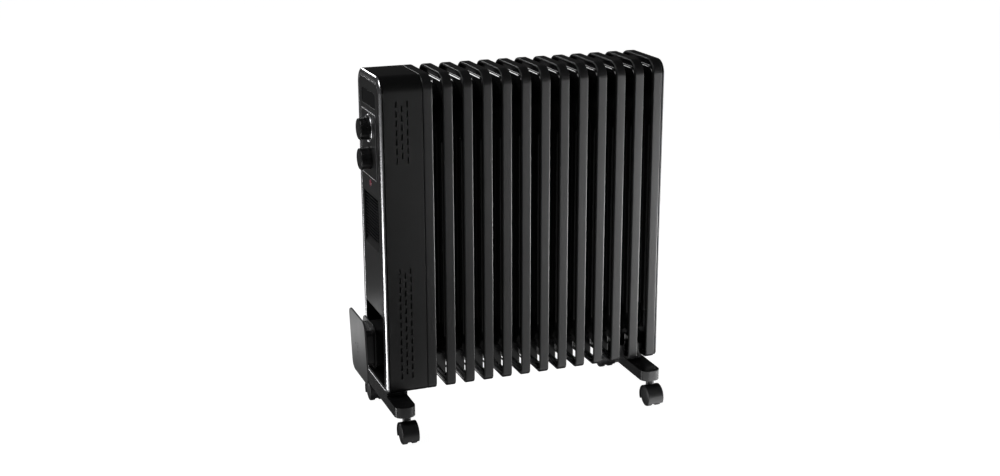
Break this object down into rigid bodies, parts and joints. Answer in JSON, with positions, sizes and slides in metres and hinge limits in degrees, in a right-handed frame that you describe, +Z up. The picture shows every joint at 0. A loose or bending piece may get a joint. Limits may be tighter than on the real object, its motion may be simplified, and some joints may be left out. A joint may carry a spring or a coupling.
{
  "type": "oil filled radiator heater",
  "caption": "Free-standing oil-filled column radiator with a row of tall steel fins, an upright control tower with knobs, air grille and cord winder, and foot bars on swivel castors.",
  "frame": {"origin": "on the floor, at the centre of the bounding box's bottom face", "axes": "+Z up; +X along the row of fins, away from the control tower, whose panel faces -X; +Y from the front to the rear"},
  "size_m": [0.565, 0.2542, 0.648],
  "materials": {
    "fin_paint": "gloss",
    "end_paint": "satin",
    "element_steel": "heat-tinted",
    "brass": "machined",
    "tower_plastic": "satin",
    "galvanised": "zinc-plated",
    "trim_chrome": "satin chrome",
    "panel_plastic": "satin",
    "window_gloss": "gloss",
    "control_plastic": "satin",
    "knob_plastic": "satin",
    "shaft_steel": "turned",
    "switch_body": "moulded",
    "pilot_red": "translucent pink-red",
    "inlet_rubber": "matte",
    "foot_paint": "satin",
    "castor_plastic": "satin",
    "axle_steel": "turned"
  },
  "bodies": {
    "chassis": {"fin_01": "fin_paint", "fin_02": "fin_paint", "fin_03": "fin_paint", "fin_04": "fin_paint", "fin_05": "fin_paint", "fin_06": "fin_paint", "fin_07": "fin_paint", "fin_08": "fin_paint", "fin_09": "fin_paint", "fin_10": "fin_paint", "fin_11": "fin_paint", "fin_12": "fin_paint", "fin_13": "fin_paint", "end_cover": "end_paint", "heating_element": "element_steel", "element_flange": "brass", "filler_plug": "brass", "tower_housing": "tower_plastic", "tower_back_plate": "galvanised", "foot_clamps": "galvanised", "foot_wing_nuts": "galvanised", "panel_screws": "galvanised", "panel_trim": "trim_chrome", "thermostat_ring": "trim_chrome", "front_panel": "panel_plastic", "winder_plate": "panel_plastic", "display_window": "window_gloss", "control_plate": "control_plastic", "intake_grille": "control_plastic", "cord_bay": "control_plastic", "winder_hub": "control_plastic", "thermostat_body": "switch_body", "selector_switch": "switch_body", "tip_over_switch": "switch_body", "terminal_block": "switch_body", "thermal_cutout": "switch_body", "pilot_lens": "pilot_red", "cord_inlet": "inlet_rubber", "foot_bar_left": "foot_paint", "foot_bar_right": "foot_paint"},
    "thermostat_dial": {"thermostat_knob": "knob_plastic", "thermostat_shaft": "shaft_steel"},
    "power_dial": {"power_knob": "knob_plastic", "selector_shaft": "shaft_steel"},
    "castor_fl_yoke": {"castor_fl_frame": "castor_plastic", "castor_fl_axle": "axle_steel"},
    "castor_fl_roller_a": {"castor_fl_wheel_a": "castor_plastic"},
    "castor_fl_roller_b": {"castor_fl_wheel_b": "castor_plastic"},
    "castor_fr_yoke": {"castor_fr_frame": "castor_plastic", "castor_fr_axle": "axle_steel"},
    "castor_fr_roller_a": {"castor_fr_wheel_a": "castor_plastic"},
    "castor_fr_roller_b": {"castor_fr_wheel_b": "castor_plastic"},
    "castor_rl_yoke": {"castor_rl_frame": "castor_plastic", "castor_rl_axle": "axle_steel"},
    "castor_rl_roller_a": {"castor_rl_wheel_a": "castor_plastic"},
    "castor_rl_roller_b": {"castor_rl_wheel_b": "castor_plastic"},
    "castor_rr_yoke": {"castor_rr_frame": "castor_plastic", "castor_rr_axle": "axle_steel"},
    "castor_rr_roller_a": {"castor_rr_wheel_a": "castor_plastic"},
    "castor_rr_roller_b": {"castor_rr_wheel_b": "castor_plastic"}
  },
  "joints": [
    {"name": "thermostat_turn", "type": "hinge", "parent": "chassis", "child": "thermostat_dial", "pos_m": [-0.24832, 0, 0.55], "axis": [-1, 0, 0], "range_deg": [-270, 0]},
    {"name": "power_turn", "type": "hinge", "parent": "chassis", "child": "power_dial", "pos_m": [-0.24832, 0, 0.497], "axis": [-1, 0, 0], "range_deg": [-180, 0]},
    {"name": "castor_fl_swivel", "type": "hinge", "parent": "chassis", "child": "castor_fl_yoke", "pos_m": [-0.22223, -0.098, 0.05], "axis": [0, 0, 1], "continuous": true},
    {"name": "castor_fl_roll_a", "type": "hinge", "parent": "castor_fl_yoke", "child": "castor_fl_roller_a", "pos_m": [-0.22223, -0.106, 0.0194], "axis": [1, 0, 0], "continuous": true},
    {"name": "castor_fl_roll_b", "type": "hinge", "parent": "castor_fl_yoke", "child": "castor_fl_roller_b", "pos_m": [-0.22223, -0.106, 0.0194], "axis": [1, 0, 0], "continuous": true},
    {"name": "castor_fr_swivel", "type": "hinge", "parent": "chassis", "child": "castor_fr_yoke", "pos_m": [0.25522, -0.098, 0.05], "axis": [0, 0, 1], "continuous": true},
    {"name": "castor_fr_roll_a", "type": "hinge", "parent": "castor_fr_yoke", "child": "castor_fr_roller_a", "pos_m": [0.25522, -0.106, 0.0194], "axis": [1, 0, 0], "continuous": true},
    {"name": "castor_fr_roll_b", "type": "hinge", "parent": "castor_fr_yoke", "child": "castor_fr_roller_b", "pos_m": [0.25522, -0.106, 0.0194], "axis": [1, 0, 0], "continuous": true},
    {"name": "castor_rl_swivel", "type": "hinge", "parent": "chassis", "child": "castor_rl_yoke", "pos_m": [-0.22223, 0.098, 0.05], "axis": [0, 0, 1], "continuous": true},
    {"name": "castor_rl_roll_a", "type": "hinge", "parent": "castor_rl_yoke", "child": "castor_rl_roller_a", "pos_m": [-0.22223, 0.106, 0.0194], "axis": [1, 0, 0], "continuous": true},
    {"name": "castor_rl_roll_b", "type": "hinge", "parent": "castor_rl_yoke", "child": "castor_rl_roller_b", "pos_m": [-0.22223, 0.106, 0.0194], "axis": [1, 0, 0], "continuous": true},
    {"name": "castor_rr_swivel", "type": "hinge", "parent": "chassis", "child": "castor_rr_yoke", "pos_m": [0.25522, 0.098, 0.05], "axis": [0, 0, 1], "continuous": true},
    {"name": "castor_rr_roll_a", "type": "hinge", "parent": "castor_rr_yoke", "child": "castor_rr_roller_a", "pos_m": [0.25522, 0.106, 0.0194], "axis": [1, 0, 0], "continuous": true},
    {"name": "castor_rr_roll_b", "type": "hinge", "parent": "castor_rr_yoke", "child": "castor_rr_roller_b", "pos_m": [0.25522, 0.106, 0.0194], "axis": [1, 0, 0], "continuous": true}
  ]
}
